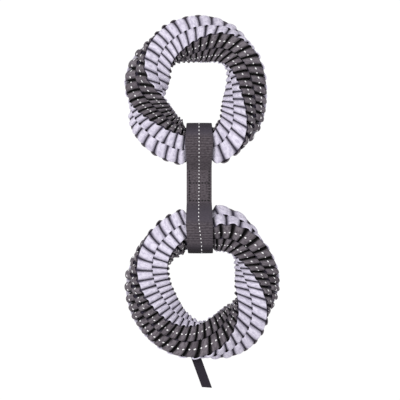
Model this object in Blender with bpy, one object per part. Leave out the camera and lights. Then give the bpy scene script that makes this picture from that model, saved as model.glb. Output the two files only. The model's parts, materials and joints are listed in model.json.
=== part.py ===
"""Double ring tug toy: two box-braided webbing rings held by one sewn webbing strap.

The toy lies flat. The origin is the centre of the strap's sewn top face, +Z is up,
+Y points at the upper ring and X is the width. Lengths are metres.

Each ring is a four-strand box braid. Two light strands weave over and under two dark
strands, so the square bar shows two columns of folds on every face, and the bar turns
once about itself on its way round. Clock angles run clockwise from +Y, seen from +Z.
"""
import math
from dataclasses import dataclass
from functools import lru_cache

import bmesh
import bpy
from mathutils import Vector

MM = 0.001

# Webbing of the braids
TAPE_WIDTH = 14.5 * MM
TAPE_THICKNESS = 1.05 * MM
FOLD_GAP = 1.6 * MM
CORE_GAP = 1.4 * MM
EYE_GAP = 0.3 * MM
JOG_SHARE = 0.4
JOG_LEAN_SHARE = 0.25

# Webbing of the strap
STRAP_WIDTH = 25.0 * MM
STRAP_PLY = 1.8 * MM
EYE_FACETS = 24
NECK_RUN = 1.8 * MM
SEWN_LENGTH = 34.9 * MM
HINGE_GAP = 0.3 * MM
SQUEEZE_FADE = 9.0 * MM
DIP_SHARPNESS = 12

# Steps for measuring the centre lines and the squeeze in the eyes
LENGTH_STEPS = 720
CLOCK_NUDGE = math.radians(0.25)
SQUEEZE_STATIONS = 180
SQUEEZE_HALVINGS = 10

# How far each ring folds at its neck, and the play left at that limit
FOLD_LIMIT = math.radians(70.0)
FOLD_PLAY = math.radians(2.0)

# Label ribbon, folded in half
LABEL_WIDTH = 9.4 * MM
LABEL_LENGTH = 32.0 * MM
LABEL_PLY = 0.45 * MM
LABEL_SLIT = 0.3 * MM
LABEL_SEAT_GAP = 1.0 * MM
LABEL_DROP = 6.0 * MM
LABEL_CLOCK = math.radians(185.5)
LABEL_LEAN = math.radians(20.0)
LABEL_FOLD_SEGMENTS = 4


@dataclass(frozen=True)
class Wave:
    """A smooth swell round a ring, with evenly spread crests, one of them at crest_clock."""

    crests: int
    height: float
    crest_clock: float

    def at(self, clock):
        """The swell at a clock angle."""
        return self.height * math.cos(self.crests * (clock - self.crest_clock))


@dataclass(frozen=True)
class Ring:
    """A ring's size, where it lies, and how its bar turns.

    The bar's centre line is a circle of mean_radius with outline_waves on it, which the
    strap pulls in by strap_dip. face_clock is where a light face would look straight up
    if the bar turned evenly, and turn_waves say how far the turn runs ahead of that.
    lay_waves say how far the layers lie ahead of even places, and lay_gap is the gap
    between one tape and the next.
    """

    name: str
    mean_radius: float
    outline_waves: tuple
    strap_dip: float
    side_offset: float
    eye_radius: float
    strap_side: float
    face_clock: float
    turn_waves: tuple
    lay_waves: tuple
    lay_gap: float


UPPER_RING = Ring(
    name="upper",
    mean_radius=52.3 * MM,
    outline_waves=(
        Wave(2, 2.2 * MM, math.radians(5.5)),
        Wave(3, 1.4 * MM, math.radians(51.3)),
        Wave(4, 0.5 * MM, math.radians(39.4)),
    ),
    strap_dip=1.7 * MM,
    side_offset=-2.7 * MM,
    eye_radius=20.6 * MM,
    strap_side=1.0,
    face_clock=math.radians(152.9),
    turn_waves=(
        Wave(1, math.radians(16.6), math.radians(41.5)),
        Wave(2, math.radians(10.6), math.radians(-38.0)),
        Wave(3, math.radians(6.1), math.radians(44.1)),
    ),
    lay_waves=(
        Wave(1, math.radians(6.2), math.radians(221.0)),
        Wave(2, math.radians(2.8), math.radians(47.3)),
    ),
    lay_gap=0.3 * MM,
)
LOWER_RING = Ring(
    name="lower",
    mean_radius=55.4 * MM,
    outline_waves=(
        Wave(2, 0.7 * MM, math.radians(6.0)),
        Wave(3, 0.9 * MM, math.radians(51.4)),
        Wave(4, 0.8 * MM, math.radians(26.6)),
    ),
    strap_dip=2.2 * MM,
    side_offset=3.5 * MM,
    eye_radius=22.1 * MM,
    strap_side=-1.0,
    face_clock=math.radians(118.6),
    turn_waves=(
        Wave(1, math.radians(23.4), math.radians(200.2)),
        Wave(2, math.radians(3.7), math.radians(-15.7)),
    ),
    lay_waves=(
        Wave(1, math.radians(5.2), math.radians(78.5)),
        Wave(2, math.radians(1.6), math.radians(16.9)),
    ),
    lay_gap=0.37 * MM,
)

# Sizes that follow
PAIR_HALF = CORE_GAP / 2 + TAPE_WIDTH
WALL_HALF = PAIR_HALF + FOLD_GAP + TAPE_THICKNESS / 2
BAR_HALF = PAIR_HALF + FOLD_GAP + TAPE_THICKNESS
BAR_CORNER = math.hypot(BAR_HALF, PAIR_HALF)
LEVELS_PER_LAYER = 3
JOG_HALF = CORE_GAP / 2 * JOG_SHARE
JOG_LEAN = CORE_GAP / 2 * JOG_LEAN_SHARE
HINGE_Y = SEWN_LENGTH / 2
MID_Z = -STRAP_PLY


def smooth_step(share):
    """0 below 0, 1 above 1, and level at both ends of the rise between."""
    held = min(max(share, 0.0), 1.0)
    return held * held * (3.0 - 2.0 * held)


def eye_distance(ring):
    """Distance from a neck's hinge to the middle of its eye."""
    return ring.eye_radius + STRAP_PLY + NECK_RUN


def eye_centre(ring):
    """Middle of the strap's eye, which the bar's middle also passes through."""
    return Vector((0.0, ring.strap_side * (HINGE_Y + eye_distance(ring)), MID_Z))


def bar_radius(ring, clock):
    """Distance from the ring's centre to the middle of its bar."""
    radius = ring.mean_radius + sum(wave.at(clock) for wave in ring.outline_waves)
    toward_strap = max(-ring.strap_side * math.cos(clock), 0.0)
    return radius - ring.strap_dip * toward_strap**DIP_SHARPNESS


def ring_centre(ring):
    """The ring's centre, from the place of its bar in the strap's eye."""
    strap_clock = math.pi if ring.strap_side > 0.0 else 0.0
    reach = bar_radius(ring, strap_clock)
    return Vector((ring.side_offset, eye_centre(ring).y + ring.strap_side * reach, MID_Z))


def centre_line(ring, clock):
    """Point of the bar's centre line."""
    radius = bar_radius(ring, clock)
    return ring_centre(ring) + Vector((radius * math.sin(clock), radius * math.cos(clock), 0.0))


def outward_at(ring, clock):
    """Unit vector square to the bar, pointing away from the ring's hole."""
    along = centre_line(ring, clock + CLOCK_NUDGE) - centre_line(ring, clock - CLOCK_NUDGE)
    return Vector((-along.y, along.x, 0.0)).normalized()


def ring_length(ring):
    """Length of the bar's centre line, summed over short steps."""
    step = 2.0 * math.pi / LENGTH_STEPS
    points = [centre_line(ring, step * index) for index in range(LENGTH_STEPS)]
    return sum((there - here).length for here, there in zip(points, points[1:] + points[:1]))


def section_turn(ring, clock):
    """How far the bar has turned about its own centre line at a clock angle."""
    return clock - ring.face_clock + sum(wave.at(clock) for wave in ring.turn_waves)


def out_and_up(ring, across_dark, across_light, clock):
    """A section point's offsets from the centre line: away from the hole, and up."""
    turn = section_turn(ring, clock)
    out = math.sin(turn) * across_light + math.cos(turn) * across_dark
    up = math.cos(turn) * across_light - math.sin(turn) * across_dark
    return out, up


def waist(ring, clock, squeeze):
    """Scale of the bar's section: the squeeze at the strap's eye, and 1 away from it."""
    if ring.strap_side * math.cos(clock) > 0.0:
        return 1.0
    hole_side = centre_line(ring, clock) - outward_at(ring, clock) * BAR_CORNER
    free = smooth_step((abs(hole_side.x) - STRAP_WIDTH / 2 - EYE_GAP) / SQUEEZE_FADE)
    return squeeze * (1.0 - free) + free


def squeezed_point(ring, across_dark, across_light, clock, squeeze):
    """A point of the bar's section on the ring, at a given squeeze in the strap's eye."""
    out, up = out_and_up(ring, across_dark, across_light, clock)
    scale = waist(ring, clock, squeeze)
    offset = outward_at(ring, clock) * (out * scale) + Vector((0.0, 0.0, up * scale))
    return centre_line(ring, clock) + offset


def passes_eye(ring, squeeze):
    """Whether every corner of the squeezed bar clears the eye within the strap's width."""
    corners = [(BAR_HALF, PAIR_HALF), (PAIR_HALF, BAR_HALF)]
    corners += [(-across, along) for across, along in corners]
    corners += [(-across, -along) for across, along in corners]
    middle = eye_centre(ring)
    for index in range(SQUEEZE_STATIONS + 1):
        clock = math.pi / 2 + math.pi * index / SQUEEZE_STATIONS
        if ring.strap_side < 0.0:
            clock += math.pi
        for corner in corners:
            reach = squeezed_point(ring, *corner, clock, squeeze) - middle
            beside_strap = abs(reach.x) > STRAP_WIDTH / 2 + EYE_GAP
            if not beside_strap and math.hypot(reach.y, reach.z) > ring.eye_radius - EYE_GAP:
                return False
    return True


@lru_cache(maxsize=None)
def eye_squeeze(ring):
    """Largest scale at which the bar passes through its eye, found by halving."""
    fits = 0.0
    blocked = 1.0
    for _ in range(SQUEEZE_HALVINGS):
        trial = (fits + blocked) / 2
        if passes_eye(ring, trial):
            fits = trial
        else:
            blocked = trial
    return fits


def ring_point(ring, across_dark, across_light, clock):
    """Place a point of the straight bar's section on the ring.

    across_dark runs from one dark face to the other and across_light from one light
    face to the other. clock is the clock angle of the section.
    """
    return squeezed_point(ring, across_dark, across_light, clock, eye_squeeze(ring))


def layer_count(ring):
    """Layers of the braid: an even number, so that every strand meets its own start."""
    layer = LEVELS_PER_LAYER * (TAPE_THICKNESS + ring.lay_gap)
    return 2 * int(ring_length(ring) / (2 * layer))


def laid_clock(ring, even_clock):
    """Where a layer lies that would be at even_clock if the braid were even."""
    return even_clock + sum(wave.at(even_clock) for wave in ring.lay_waves)


def strand_stations(entry_side, jogs, low_first):
    """One layer of a strand, as (offset, level, edge) triples for its two surfaces.

    The strand enters at entry_side and leaves at the other side. A strand that jogs
    enters one level above the crossing tapes' level and leaves one level below it.
    Each station gives the upper surface's point and the lower surface's point, which
    stand apart across the jog too, so that the tape keeps its ply where the bar turns.
    """
    high = 1.0 if jogs else 0.0
    half = TAPE_THICKNESS / 2
    outer = entry_side * (WALL_HALF + half)
    inner = entry_side * (WALL_HALF - half)
    stations = [((outer, high, half), (inner, high, -half))]
    if jogs:
        lean = entry_side * JOG_LEAN
        for side, level in ((entry_side, high), (-entry_side, -high)):
            offset = side * JOG_HALF
            stations.append(((offset - lean, level, half), (offset + lean, level, -half)))
    stations.append(((-inner, -high, half), (-outer, -high, -half)))
    if low_first:
        stations = [(lower, upper) for upper, lower in stations]
    return stations


def add_bulging_quad(mesh, corners, middle):
    """Two triangles over four corners, split so that the twisted face bulges off the middle."""
    a, b, c, d = corners
    if ((a.co + c.co) / 2 - middle).length > ((b.co + d.co) / 2 - middle).length:
        triangles = ((a, b, c), (a, c, d))
    else:
        triangles = ((a, b, d), (b, c, d))
    for triangle in triangles:
        mesh.faces.new(triangle)


def build_strand(ring, name, material, light, column, first_entry):
    """One strand of a ring's braid: a closed loop of flat tape of rectangular section.

    column is the side of the bar's middle that the strand keeps to, -1 or +1, and
    first_entry the side at which it enters the first layer.
    """
    layers = layer_count(ring)
    layer_angle = 2.0 * math.pi / layers
    tangent_scale = 2.0 * math.pi / ring_length(ring)
    edges = (column * CORE_GAP / 2, column * PAIR_HALF)
    mesh = bmesh.new()
    sections = []
    middles = []
    for layer in range(layers):
        entry_side = first_entry if layer % 2 == 0 else -first_entry
        for surfaces in strand_stations(entry_side, light, layer % 2 == 1):
            section = []
            for (offset, level, rise), pair in zip(surfaces, (edges, edges[::-1])):
                even_clock = layer_angle * (layer + level / LEVELS_PER_LAYER)
                clock = laid_clock(ring, even_clock + rise * tangent_scale)
                for edge in pair:
                    across = (edge, offset) if light else (offset, edge)
                    section.append(mesh.verts.new(ring_point(ring, *across, clock)))
            sections.append(section)
            middles.append(ring_point(ring, 0.0, 0.0, clock))
    for index, section in enumerate(sections):
        following = sections[index + 1 - len(sections)]
        middle = (middles[index] + middles[index + 1 - len(sections)]) / 2
        for corner in range(4):
            ahead = (corner + 1) % 4
            corners = (section[corner], section[ahead], following[ahead], following[corner])
            add_bulging_quad(mesh, corners, middle)
    return add_object(name, mesh, material, Vector((0.0, ring.strap_side * HINGE_Y, MID_Z)))


def extrude_profile(outline, hole, start, run):
    """A solid from a closed outline, with or without a hole that it matches point by point.

    The outline's points are vectors, start is added to each, and run is the extrusion.
    """
    mesh = bmesh.new()
    near = [mesh.verts.new(point + start) for point in outline]
    far = [mesh.verts.new(point + start + run) for point in outline]
    count = len(outline)
    if hole:
        near_hole = [mesh.verts.new(point + start) for point in hole]
        far_hole = [mesh.verts.new(point + start + run) for point in hole]
        for index in range(count):
            ahead = (index + 1) % count
            mesh.faces.new((near[index], near[ahead], near_hole[ahead], near_hole[index]))
            mesh.faces.new((far[index], far_hole[index], far_hole[ahead], far[ahead]))
            mesh.faces.new((near_hole[index], near_hole[ahead], far_hole[ahead], far_hole[index]))
    else:
        mesh.faces.new(near)
        mesh.faces.new(far[::-1])
    for index in range(count):
        ahead = (index + 1) % count
        mesh.faces.new((near[index], far[index], far[ahead], near[ahead]))
    return mesh


def eye_loop(radius, tip_distance):
    """Teardrop in the YZ plane about the eye's centre, with its tip at -Y.

    Its facets touch the circle of the radius, and one of them faces straight down.
    """
    step = 2.0 * math.pi / EYE_FACETS
    vertex_radius = radius / math.cos(step / 2)
    tip_angle = math.acos(radius / tip_distance)
    angles = [step / 2 + step * index for index in range(EYE_FACETS)]
    kept = [angle for angle in angles if tip_angle < angle < 2.0 * math.pi - tip_angle]
    points = [Vector((0.0, -tip_distance, 0.0))]
    for angle in kept:
        points.append(Vector((0.0, -vertex_radius * math.cos(angle), vertex_radius * math.sin(angle))))
    return points


def build_eye(ring, name, material):
    """The strap's loop round a ring's bar, with its tip at the neck where it folds."""
    outer_radius = ring.eye_radius + STRAP_PLY
    outer_tip = eye_distance(ring) - HINGE_GAP / 2
    outline = eye_loop(outer_radius, outer_tip)
    hole = eye_loop(ring.eye_radius, ring.eye_radius * outer_tip / outer_radius)
    for point in outline + hole:
        point.y *= ring.strap_side
    start = eye_centre(ring) - Vector((STRAP_WIDTH / 2, 0.0, 0.0))
    mesh = extrude_profile(outline, hole, start, Vector((STRAP_WIDTH, 0.0, 0.0)))
    return add_object(name, mesh, material, Vector((0.0, ring.strap_side * HINGE_Y, MID_Z)))


def neck_bevel(ring):
    """Angle of the sewn block's wedge at a neck, which leaves the eye room to fold."""
    tip, shoulder = eye_loop(ring.eye_radius + STRAP_PLY, eye_distance(ring) - HINGE_GAP / 2)[:2]
    flank = math.atan2(shoulder.z, shoulder.y - tip.y)
    return math.pi - flank - FOLD_LIMIT - FOLD_PLAY


def build_sewn_block(name, material):
    """The strap's middle, where both plies are sewn flat on each other."""
    tip = HINGE_Y - HINGE_GAP / 2
    upper = tip - STRAP_PLY / math.tan(neck_bevel(UPPER_RING))
    lower = tip - STRAP_PLY / math.tan(neck_bevel(LOWER_RING))
    outline = [
        Vector((0.0, tip, 0.0)),
        Vector((0.0, upper, STRAP_PLY)),
        Vector((0.0, -lower, STRAP_PLY)),
        Vector((0.0, -tip, 0.0)),
        Vector((0.0, -lower, -STRAP_PLY)),
        Vector((0.0, upper, -STRAP_PLY)),
    ]
    start = Vector((-STRAP_WIDTH / 2, 0.0, MID_Z))
    mesh = extrude_profile(outline, None, start, Vector((STRAP_WIDTH, 0.0, 0.0)))
    return add_object(name, mesh, material, Vector((0.0, 0.0, MID_Z)))


def label_seat():
    """Middle of the label's root on the lower ring, and the way out from the ring there."""
    outward = outward_at(LOWER_RING, LABEL_CLOCK)
    seat = centre_line(LOWER_RING, LABEL_CLOCK) + outward * (BAR_HALF + LABEL_SEAT_GAP)
    return seat - Vector((0.0, 0.0, LABEL_DROP)), outward


def build_label(name, material):
    """Folded ribbon label: two plies with a slit between them and a round fold at the end."""
    seat, outward = label_seat()
    along = Vector((math.sin(LABEL_LEAN), -math.cos(LABEL_LEAN), 0.0))
    seam = Vector((-outward.y, outward.x, 0.0))
    width_run = seam * (LABEL_WIDTH / abs(seam.cross(along).z))
    up = Vector((0.0, 0.0, 1.0))
    inner = LABEL_SLIT / 2
    outer = inner + LABEL_PLY
    bend_start = LABEL_LENGTH - outer

    def fold(radius):
        points = [up * radius]
        for index in range(LABEL_FOLD_SEGMENTS + 1):
            angle = math.pi / 2 - math.pi * index / LABEL_FOLD_SEGMENTS
            points.append(along * (bend_start + radius * math.cos(angle)) + up * (radius * math.sin(angle)))
        points.append(-up * radius)
        return points

    outline = fold(outer) + fold(inner)[::-1]
    mesh = extrude_profile(outline, None, seat - width_run / 2, width_run)
    return add_object(name, mesh, material, seat)


def add_object(name, mesh, material, origin):
    """Link a closed mesh, given in world places, as an object with its own origin."""
    bmesh.ops.recalc_face_normals(mesh, faces=mesh.faces)
    bmesh.ops.translate(mesh, verts=mesh.verts, vec=-origin)
    data = bpy.data.meshes.new(name)
    mesh.to_mesh(data)
    mesh.free()
    data.materials.append(material)
    piece = bpy.data.objects.new(name, data)
    piece.location = origin
    bpy.context.scene.collection.objects.link(piece)
    return piece


def add_material(name, colour, roughness):
    """A plain Principled material."""
    material = bpy.data.materials.new(name)
    material.use_nodes = True
    shader = material.node_tree.nodes["Principled BSDF"]
    shader.inputs["Base Color"].default_value = (*colour, 1.0)
    shader.inputs["Roughness"].default_value = roughness
    shader.inputs["Metallic"].default_value = 0.0
    material.diffuse_color = (*colour, 1.0)
    return material


def build_braid(ring, light_webbing, dark_webbing):
    """The four strands of a ring."""
    for light, material, shade in ((True, light_webbing, "light"), (False, dark_webbing, "dark")):
        for column, letter, light_entry in ((-1, "a", 1), (1, "b", -1)):
            first_entry = light_entry if light else -light_entry
            name = f"{ring.name}_{shade}_strand_{letter}"
            build_strand(ring, name, material, light, column, first_entry)


def main():
    for old in list(bpy.data.objects):
        bpy.data.objects.remove(old, do_unlink=True)
    light_webbing = add_material("light_webbing", (0.60, 0.58, 0.66), 0.85)
    dark_webbing = add_material("dark_webbing", (0.075, 0.070, 0.078), 0.85)
    strap_webbing = add_material("strap_webbing", (0.085, 0.078, 0.085), 0.80)
    label_ribbon = add_material("label_ribbon", (0.018, 0.018, 0.020), 0.60)

    build_sewn_block("strap_sewn_middle", strap_webbing)
    for ring in (UPPER_RING, LOWER_RING):
        build_braid(ring, light_webbing, dark_webbing)
        build_eye(ring, f"strap_{ring.name}_eye", strap_webbing)
    build_label("label_tab", label_ribbon)


main()
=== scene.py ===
"""Double ring tug toy, dressed: box-braided webbing rings, a sewn strap and a folded label.

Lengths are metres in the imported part's frame: +Z up, +Y to the upper ring, X across.
Clock angles run clockwise from +Y, seen from +Z. Tape patterns follow each piece's own
UV map, which holds metres: U across the tape and V along it.
"""

import json
import logging
import math
from dataclasses import dataclass, field
from enum import Enum
from functools import cached_property

import bmesh
import bpy
import numpy as np
from mathutils import Matrix, Vector


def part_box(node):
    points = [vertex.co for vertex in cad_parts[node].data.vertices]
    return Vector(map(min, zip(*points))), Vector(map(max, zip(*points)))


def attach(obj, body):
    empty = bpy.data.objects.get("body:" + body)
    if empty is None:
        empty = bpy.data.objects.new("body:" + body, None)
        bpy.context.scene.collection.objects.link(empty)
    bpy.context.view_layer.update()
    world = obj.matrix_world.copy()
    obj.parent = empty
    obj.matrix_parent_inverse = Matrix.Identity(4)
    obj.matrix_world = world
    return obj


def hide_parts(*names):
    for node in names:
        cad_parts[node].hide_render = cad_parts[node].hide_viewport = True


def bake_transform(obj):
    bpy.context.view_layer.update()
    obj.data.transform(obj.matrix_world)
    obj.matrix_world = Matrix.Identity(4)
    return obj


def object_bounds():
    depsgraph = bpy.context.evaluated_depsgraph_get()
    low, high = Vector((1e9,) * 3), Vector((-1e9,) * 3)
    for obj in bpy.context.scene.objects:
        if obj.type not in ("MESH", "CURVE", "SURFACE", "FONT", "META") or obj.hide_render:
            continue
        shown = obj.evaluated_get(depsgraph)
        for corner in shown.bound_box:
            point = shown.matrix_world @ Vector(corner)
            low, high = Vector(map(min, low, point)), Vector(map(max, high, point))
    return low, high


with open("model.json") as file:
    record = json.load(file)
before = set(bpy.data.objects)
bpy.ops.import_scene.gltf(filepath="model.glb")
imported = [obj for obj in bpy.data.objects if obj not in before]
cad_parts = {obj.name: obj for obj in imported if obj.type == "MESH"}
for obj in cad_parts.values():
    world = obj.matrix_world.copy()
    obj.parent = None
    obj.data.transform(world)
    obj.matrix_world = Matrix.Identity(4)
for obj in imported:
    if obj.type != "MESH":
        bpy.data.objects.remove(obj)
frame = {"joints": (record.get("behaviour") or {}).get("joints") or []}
CAD_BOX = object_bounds()

LOG = logging.getLogger("tug_toy")
MM = 0.001
DEGREE = math.radians(1.0)
MERGE_DISTANCE = 1e-6
NOISE_DETAIL = 2.0

# Half the step over which a bar's direction is read, and the steps that measure its length
CLOCK_NUDGE = 0.25 * DEGREE
LENGTH_STEPS = 720

# The picture's side in pixels of one millimetre, and the pixel that shows the frame's origin
PICTURE_SIDE = 400
PIXEL = 1.0 * MM
PICTURE_ORIGIN = (199.3, 186.6)

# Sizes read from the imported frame
STRAP_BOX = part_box("strap_sewn_middle")
STRAP_WIDTH = STRAP_BOX[1].x - STRAP_BOX[0].x
STRAP_PLY = (STRAP_BOX[1].z - STRAP_BOX[0].z) / 2
MID_Z = STRAP_BOX[0].z + STRAP_PLY
HINGES = {joint["name"]: Vector(joint["pos_m"]) for joint in frame["joints"]}
HINGE_AXES = {joint["name"]: Vector(joint["axis"]) for joint in frame["joints"]}
HINGE_Y = HINGES["upper_ring_fold"].y


class MathOperation(Enum):
    """The shader arithmetic in use."""

    ADD = "ADD"
    MULTIPLY = "MULTIPLY"
    MAXIMUM = "MAXIMUM"
    SINE = "SINE"


class Shade(Enum):
    """The two colours of tape in a braid."""

    LIGHT = "light"
    DARK = "dark"


class End(Enum):
    """The two ends of the toy, with the side of the strap that each lies on."""

    UPPER = 1.0
    LOWER = -1.0


def smooth_step(share: np.ndarray) -> np.ndarray:
    """Rise smoothly from 0 to 1.

    Args:
        share: Places along the rise, 0 at its start and 1 at its end.

    Returns:
        The height of the rise at each place.
    """
    held = np.clip(share, 0.0, 1.0)
    return held * held * (3.0 - 2.0 * held)


@dataclass(frozen=True)
class Wave:
    """A smooth swell round a ring, with evenly spread crests, one of them at crest_clock."""

    crests: int
    height: float
    crest_clock: float

    def at(self, clock: np.ndarray) -> np.ndarray:
        """Height of the swell at clock angles in radians."""
        return self.height * np.cos(self.crests * (clock - self.crest_clock))


def make_waves(unit: float, *rows: tuple[int, float, float]) -> tuple[Wave, ...]:
    """Make several waves.

    Args:
        unit: What the heights are counted in, in metres or radians.
        rows: For each wave its crests, its height and the clock angle of a crest in degrees.

    Returns:
        The waves.
    """
    return tuple(Wave(crests, height * unit, clock * DEGREE) for crests, height, clock in rows)


def swell(waves: tuple[Wave, ...], clock: np.ndarray) -> np.ndarray:
    """Add up several waves.

    Args:
        waves: The waves.
        clock: Clock angles in radians.

    Returns:
        Their summed height at each angle.
    """
    return sum((wave.at(clock) for wave in waves), np.zeros_like(clock))


def signed_power(value: np.ndarray, power: float) -> np.ndarray:
    """Raise the size of a value to a power and keep its sign.

    Args:
        value: The values.
        power: The power.

    Returns:
        The powers, each with its value's sign.
    """
    return np.sign(value) * np.abs(value) ** power


class Graph:
    """The node tree of a material or the world, with short calls for the nodes in use."""

    def __init__(self, owner: bpy.types.Material | bpy.types.World) -> None:
        """Start from the owner's default nodes.

        Args:
            owner: The material or world.
        """
        owner.use_nodes = True
        self.nodes = owner.node_tree.nodes
        self.links = owner.node_tree.links
        is_world = isinstance(owner, bpy.types.World)
        self.shader = self.nodes["Background" if is_world else "Principled BSDF"]

    def feed(self, socket: bpy.types.NodeSocket, value: object) -> None:
        """Link a socket to another, or set its value.

        Args:
            socket: The input.
            value: An output socket, a number or a colour.
        """
        if isinstance(value, bpy.types.NodeSocket):
            self.links.new(value, socket)
        else:
            socket.default_value = value

    def dress(self, inputs: dict[str, object]) -> None:
        """Link or set several of the shader's inputs."""
        for name, value in inputs.items():
            self.feed(self.shader.inputs[name], value)

    def add(
        self, kind: str, inputs: dict[str | int, object] | None = None, **settings: object
    ) -> bpy.types.Node:
        """Add a node.

        Args:
            kind: The node's type, as its name ends.
            inputs: What to link or set its inputs to, by name or index.
            settings: Its own settings.

        Returns:
            The node.
        """
        node = self.nodes.new(f"ShaderNode{kind}")
        for name, value in settings.items():
            setattr(node, name, value)
        for key, value in (inputs or {}).items():
            self.feed(node.inputs[key], value)
        return node

    def math(self, operation: MathOperation, *values: object) -> bpy.types.NodeSocket:
        """Work out numbers or sockets with a Math node."""
        return self.add("Math", dict(enumerate(values)), operation=operation.value).outputs[0]

    def times(self, first: object, second: object) -> bpy.types.NodeSocket:
        """Multiply two values, each a socket or a number."""
        return self.math(MathOperation.MULTIPLY, first, second)

    def rise(self, value: object, low: float, high: float) -> bpy.types.NodeSocket:
        """Add a smooth step from 0 at low to 1 at high.

        Args:
            value: The input, as a socket.
            low: Where the step starts.
            high: Where it ends.

        Returns:
            The step's output.
        """
        inputs = {"Value": value, "From Min": low, "From Max": high}
        return self.add("MapRange", inputs, interpolation_type="SMOOTHSTEP").outputs["Result"]

    def mix(self, share: object, first: object, second: object) -> bpy.types.NodeSocket:
        """Mix two colours.

        Args:
            share: The second colour's share, as a socket or a number.
            first: The first colour.
            second: The second colour.

        Returns:
            The mixed colour.
        """
        node = self.add("Mix", {"Factor": share}, data_type="RGBA")
        for name, colour in (("A", first), ("B", second)):
            socket = next(one for one in node.inputs if one.name == name and one.type == "RGBA")
            self.feed(socket, (*colour, 1.0) if isinstance(colour, tuple) else colour)
        return next(one for one in node.outputs if one.type == "RGBA")

    def tape_place(self) -> tuple[bpy.types.NodeSocket, bpy.types.NodeSocket, bpy.types.NodeSocket]:
        """Read the tape's own UV map.

        Returns:
            The UV vector, the place across the tape and the place along it, in metres.
        """
        uv = self.add("UVMap", uv_map="tape").outputs["UV"]
        split = self.add("SeparateXYZ", {"Vector": uv})
        return uv, split.outputs["X"], split.outputs["Y"]

    def painted(self, layer: str) -> bpy.types.NodeSocket:
        """Read a float layer of the piece's own mesh. A piece without it reads 0."""
        return self.add("Attribute", attribute_name=layer).outputs["Fac"]

    def noise(self, vector: object, scales: tuple[float, float]) -> bpy.types.NodeSocket:
        """Add a noise that is stretched along the tape.

        Args:
            vector: The UV vector.
            scales: Grains per metre across and along the tape.

        Returns:
            The noise's strength.
        """
        mapping = self.add("Mapping", {"Vector": vector, "Scale": (*scales, 1.0)})
        inputs = {"Vector": mapping.outputs["Vector"], "Scale": 1.0, "Detail": NOISE_DETAIL}
        return self.add("TexNoise", inputs).outputs["Fac"]

    def cloudiness(self, grain: float) -> bpy.types.NodeSocket:
        """Add a broad noise on the object's own coordinates.

        Args:
            grain: Clouds per metre.

        Returns:
            The noise's strength.
        """
        place = self.add("TexCoord").outputs["Object"]
        inputs = {"Vector": place, "Scale": grain, "Detail": NOISE_DETAIL}
        return self.add("TexNoise", inputs).outputs["Fac"]

    def wave(self, place: object, pitch: float) -> bpy.types.NodeSocket:
        """Add a sine wave.

        Args:
            place: The place along the wave, in metres.
            pitch: The wave's length in metres.

        Returns:
            The wave, from -1 to 1.
        """
        return self.math(MathOperation.SINE, self.times(place, 2.0 * math.pi / pitch))

    def bump(self, height: object, distance: float, strength: float) -> None:
        """Give the shader a bump.

        Args:
            height: The height, as a socket.
            distance: How deep the relief is, in metres.
            strength: The bump's strength.
        """
        node = self.add("Bump", {"Strength": strength, "Distance": distance, "Height": height})
        self.dress({"Normal": node.outputs["Normal"]})


@dataclass(frozen=True)
class WovenFinish:
    """Woven webbing: warp and weft with flecks of another yarn, painted by the piece's layers.

    depth is painted shade: it darkens the tape deep inside the braid towards the deep colour.
    tone makes one fold lighter or darker than the next, at random. ribs paints shade into the
    troughs between the weft ribs, and the slope layer lays a darker purple painted shade on the
    smooth slopes between them that face away from the light.
    """

    name: str
    yarn: tuple[float, float, float]
    fleck: tuple[float, float, float]
    # deep is the colour of painted shade: deep in the braid, in the weave's hollows and in the rib
    # troughs the tape darkens towards it
    deep: tuple[float, float, float]
    slope_shade: tuple[float, float, float]
    warp_pitch: float
    weft_pitch: float
    fleck_share: float
    rib_trough_shade: float
    roughness: float
    sheen: float
    relief: float
    fleck_grain: tuple[float, float] = (240.0, 640.0)
    fleck_edge: tuple[float, float] = (0.44, 0.62)
    weave_shade: float = 0.16
    weave_edge: tuple[float, float] = (0.4, -1.0)
    rib_edge: tuple[float, float] = (0.5, -0.9)
    cloud_grain: float = 45.0
    cloud_edge: tuple[float, float] = (0.35, 0.75)
    cloud_share: float = 0.20
    bump_strength: float = 0.6
    specular_level: float = 0.06

    def build(self) -> bpy.types.Material:
        """Make the material.

        Returns:
            The material, which reads the tape's UV map and the piece's painted layers.
        """
        material = bpy.data.materials.new(self.name)
        graph = Graph(material)
        uv, across, along = graph.tape_place()
        warp = graph.wave(across, self.warp_pitch)
        weft = graph.wave(along, self.weft_pitch)
        cross = graph.times(warp, weft)
        flecks = graph.noise(uv, self.fleck_grain)
        clouds = graph.cloudiness(self.cloud_grain)
        # Painted shade in the troughs between the weft ribs, where the ribs layer lets it show
        ribs = graph.times(graph.painted("ribs"), graph.rise(weft, *self.rib_edge))
        layers = (
            (graph.rise(flecks, *self.fleck_edge), self.fleck_share, self.fleck),
            (graph.rise(clouds, *self.cloud_edge), self.cloud_share, self.fleck),
            (graph.rise(cross, *self.weave_edge), self.weave_shade, self.deep),
            (graph.painted("tone"), 1.0, self.fleck),
            # Painted shade on the strap's smooth slopes that face away from the light
            (graph.painted("slope_shade"), 1.0, self.slope_shade),
            (ribs, self.rib_trough_shade, self.deep),
            # Painted shade: the tape darkens towards the deep colour as far as its depth layer says
            (graph.painted("depth"), 1.0, self.deep),
        )
        colour = self.yarn
        for cover, share, tint in layers:
            colour = graph.mix(graph.times(cover, share), colour, tint)
        graph.bump(graph.math(MathOperation.ADD, cross, flecks), self.relief, self.bump_strength)
        graph.dress({
            "Base Color": colour,
            "Roughness": self.roughness,
            "Sheen Weight": self.sheen,
            "Specular IOR Level": self.specular_level,
        })
        return material


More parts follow.
